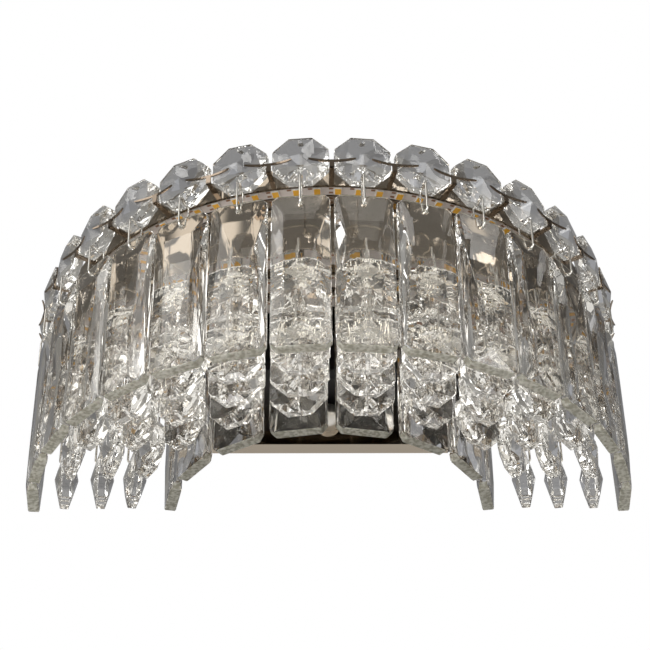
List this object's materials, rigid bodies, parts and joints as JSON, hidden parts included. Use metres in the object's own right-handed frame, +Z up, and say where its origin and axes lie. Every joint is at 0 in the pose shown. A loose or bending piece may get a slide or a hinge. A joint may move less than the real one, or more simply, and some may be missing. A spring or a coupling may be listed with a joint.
{
  "type": "crystal wall sconce",
  "caption": "Half-round wall sconce: rings of LED strip behind a crown of faceted octagons, hanging octagon strings and swinging frosted crystal plates.",
  "frame": {"origin": "middle of the wall bracket's back face, on the axis of its stud, in the wall plane", "axes": "+Y into the wall, -Y out into the room, +X to the right as seen from the room, +Z up"},
  "size_m": [0.259, 0.1375, 0.1025],
  "materials": {
    "crystal": "clear, faceted and polished",
    "plate_crystal": "clear faces with frosted ground edges",
    "polished_metal": "polished, warm nickel tone",
    "satin_metal": "satin",
    "zinc_steel": "zinc plated",
    "earth_brass": "plain",
    "wire": "bright drawn wire",
    "led_board": "white flexible board",
    "driver_black": "matte black",
    "rubber": "moulded"
  },
  "bodies": {
    "lamp_frame": {"wall_bracket": "zinc_steel", "bracket_stud": "zinc_steel", "lock_nut": "zinc_steel", "cap_nut": "satin_metal", "earth_screw": "earth_brass", "back_pan": "polished_metal", "cable_grommet": "rubber", "led_driver": "driver_black", "driver_screws": "zinc_steel", "top_plate": "polished_metal", "ring_1": "polished_metal", "ring_2": "polished_metal", "ring_3": "polished_metal", "ring_4": "polished_metal", "ring_5": "polished_metal", "led_strip_1": "led_board", "led_strip_2": "led_board", "led_strip_3": "led_board", "led_strip_4": "led_board", "led_strip_5": "led_board", "crown_clips": "polished_metal", "crown_octagons": "crystal", "row_a_upper": "crystal", "row_a_lower": "crystal", "row_b_upper": "crystal", "row_b_lower": "crystal", "row_c_upper": "crystal", "row_c_lower": "crystal", "outer_plate_links": "wire", "inner_plate_links": "wire", "row_a_links": "wire", "row_b_links": "wire", "row_c_links": "wire"},
    "outer_plate_01_body": {"outer_plate_01": "plate_crystal"},
    "outer_plate_02_body": {"outer_plate_02": "plate_crystal"},
    "outer_plate_03_body": {"outer_plate_03": "plate_crystal"},
    "outer_plate_04_body": {"outer_plate_04": "plate_crystal"},
    "outer_plate_05_body": {"outer_plate_05": "plate_crystal"},
    "outer_plate_06_body": {"outer_plate_06": "plate_crystal"},
    "outer_plate_07_body": {"outer_plate_07": "plate_crystal"},
    "outer_plate_08_body": {"outer_plate_08": "plate_crystal"},
    "outer_plate_09_body": {"outer_plate_09": "plate_crystal"},
    "outer_plate_10_body": {"outer_plate_10": "plate_crystal"},
    "outer_plate_11_body": {"outer_plate_11": "plate_crystal"},
    "outer_plate_12_body": {"outer_plate_12": "plate_crystal"},
    "outer_plate_13_body": {"outer_plate_13": "plate_crystal"},
    "outer_plate_14_body": {"outer_plate_14": "plate_crystal"},
    "outer_plate_15_body": {"outer_plate_15": "plate_crystal"},
    "outer_plate_16_body": {"outer_plate_16": "plate_crystal"},
    "inner_plate_1_body": {"inner_plate_1": "plate_crystal"},
    "inner_plate_2_body": {"inner_plate_2": "plate_crystal"},
    "inner_plate_3_body": {"inner_plate_3": "plate_crystal"},
    "inner_plate_4_body": {"inner_plate_4": "plate_crystal"},
    "inner_plate_5_body": {"inner_plate_5": "plate_crystal"},
    "inner_plate_6_body": {"inner_plate_6": "plate_crystal"},
    "inner_plate_7_body": {"inner_plate_7": "plate_crystal"},
    "inner_plate_8_body": {"inner_plate_8": "plate_crystal"}
  },
  "joints": [
    {"name": "outer_plate_01_swing", "type": "hinge", "parent": "lamp_frame", "child": "outer_plate_01_body", "pos_m": [-0.1239, -0.0202, 0.0198], "axis": [-0.098, 0.9952, 0], "range_deg": [-4, 10]},
    {"name": "outer_plate_02_swing", "type": "hinge", "parent": "lamp_frame", "child": "outer_plate_02_body", "pos_m": [-0.11914, -0.04414, 0.0198], "axis": [-0.2903, 0.9569, 0], "range_deg": [-4, 10]},
    {"name": "outer_plate_03_swing", "type": "hinge", "parent": "lamp_frame", "child": "outer_plate_03_body", "pos_m": [-0.1098, -0.06669, 0.0198], "axis": [-0.4714, 0.8819, 0], "range_deg": [-4, 10]},
    {"name": "outer_plate_04_swing", "type": "hinge", "parent": "lamp_frame", "child": "outer_plate_04_body", "pos_m": [-0.09624, -0.08698, 0.0198], "axis": [-0.6344, 0.773, 0], "range_deg": [-4, 10]},
    {"name": "outer_plate_05_swing", "type": "hinge", "parent": "lamp_frame", "child": "outer_plate_05_body", "pos_m": [-0.07898, -0.10424, 0.0198], "axis": [-0.773, 0.6344, 0], "range_deg": [-4, 10]},
    {"name": "outer_plate_06_swing", "type": "hinge", "parent": "lamp_frame", "child": "outer_plate_06_body", "pos_m": [-0.05869, -0.1178, 0.0198], "axis": [-0.8819, 0.4714, 0], "range_deg": [-4, 10]},
    {"name": "outer_plate_07_swing", "type": "hinge", "parent": "lamp_frame", "child": "outer_plate_07_body", "pos_m": [-0.03614, -0.12714, 0.0198], "axis": [-0.9569, 0.2903, 0], "range_deg": [-4, 10]},
    {"name": "outer_plate_08_swing", "type": "hinge", "parent": "lamp_frame", "child": "outer_plate_08_body", "pos_m": [-0.0122, -0.1319, 0.0198], "axis": [-0.9952, 0.098, 0], "range_deg": [-4, 10]},
    {"name": "outer_plate_09_swing", "type": "hinge", "parent": "lamp_frame", "child": "outer_plate_09_body", "pos_m": [0.0122, -0.1319, 0.0198], "axis": [-0.9952, -0.098, 0], "range_deg": [-4, 10]},
    {"name": "outer_plate_10_swing", "type": "hinge", "parent": "lamp_frame", "child": "outer_plate_10_body", "pos_m": [0.03614, -0.12714, 0.0198], "axis": [-0.9569, -0.2903, 0], "range_deg": [-4, 10]},
    {"name": "outer_plate_11_swing", "type": "hinge", "parent": "lamp_frame", "child": "outer_plate_11_body", "pos_m": [0.05869, -0.1178, 0.0198], "axis": [-0.8819, -0.4714, 0], "range_deg": [-4, 10]},
    {"name": "outer_plate_12_swing", "type": "hinge", "parent": "lamp_frame", "child": "outer_plate_12_body", "pos_m": [0.07898, -0.10424, 0.0198], "axis": [-0.773, -0.6344, 0], "range_deg": [-4, 10]},
    {"name": "outer_plate_13_swing", "type": "hinge", "parent": "lamp_frame", "child": "outer_plate_13_body", "pos_m": [0.09624, -0.08698, 0.0198], "axis": [-0.6344, -0.773, 0], "range_deg": [-4, 10]},
    {"name": "outer_plate_14_swing", "type": "hinge", "parent": "lamp_frame", "child": "outer_plate_14_body", "pos_m": [0.1098, -0.06669, 0.0198], "axis": [-0.4714, -0.8819, 0], "range_deg": [-4, 10]},
    {"name": "outer_plate_15_swing", "type": "hinge", "parent": "lamp_frame", "child": "outer_plate_15_body", "pos_m": [0.11914, -0.04414, 0.0198], "axis": [-0.2903, -0.9569, 0], "range_deg": [-4, 10]},
    {"name": "outer_plate_16_swing", "type": "hinge", "parent": "lamp_frame", "child": "outer_plate_16_body", "pos_m": [0.1239, -0.0202, 0.0198], "axis": [-0.098, -0.9952, 0], "range_deg": [-4, 10]},
    {"name": "inner_plate_1_swing", "type": "hinge", "parent": "lamp_frame", "child": "inner_plate_1_body", "pos_m": [-0.06552, -0.02103, 0.0198], "axis": [-0.1951, 0.9808, 0], "range_deg": [-4, 6]},
    {"name": "inner_plate_2_swing", "type": "hinge", "parent": "lamp_frame", "child": "inner_plate_2_body", "pos_m": [-0.05554, -0.04511, 0.0198], "axis": [-0.5556, 0.8315, 0], "range_deg": [-4, 6]},
    {"name": "inner_plate_3_swing", "type": "hinge", "parent": "lamp_frame", "child": "inner_plate_3_body", "pos_m": [-0.03711, -0.06354, 0.0198], "axis": [-0.8315, 0.5556, 0], "range_deg": [-4, 6]},
    {"name": "inner_plate_4_swing", "type": "hinge", "parent": "lamp_frame", "child": "inner_plate_4_body", "pos_m": [-0.01303, -0.07352, 0.0198], "axis": [-0.9808, 0.1951, 0], "range_deg": [-4, 6]},
    {"name": "inner_plate_5_swing", "type": "hinge", "parent": "lamp_frame", "child": "inner_plate_5_body", "pos_m": [0.01303, -0.07352, 0.0198], "axis": [-0.9808, -0.1951, 0], "range_deg": [-4, 6]},
    {"name": "inner_plate_6_swing", "type": "hinge", "parent": "lamp_frame", "child": "inner_plate_6_body", "pos_m": [0.03711, -0.06354, 0.0198], "axis": [-0.8315, -0.5556, 0], "range_deg": [-4, 6]},
    {"name": "inner_plate_7_swing", "type": "hinge", "parent": "lamp_frame", "child": "inner_plate_7_body", "pos_m": [0.05554, -0.04511, 0.0198], "axis": [-0.5556, -0.8315, 0], "range_deg": [-4, 6]},
    {"name": "inner_plate_8_swing", "type": "hinge", "parent": "lamp_frame", "child": "inner_plate_8_body", "pos_m": [0.06552, -0.02103, 0.0198], "axis": [-0.1951, -0.9808, 0], "range_deg": [-4, 6]}
  ]
}
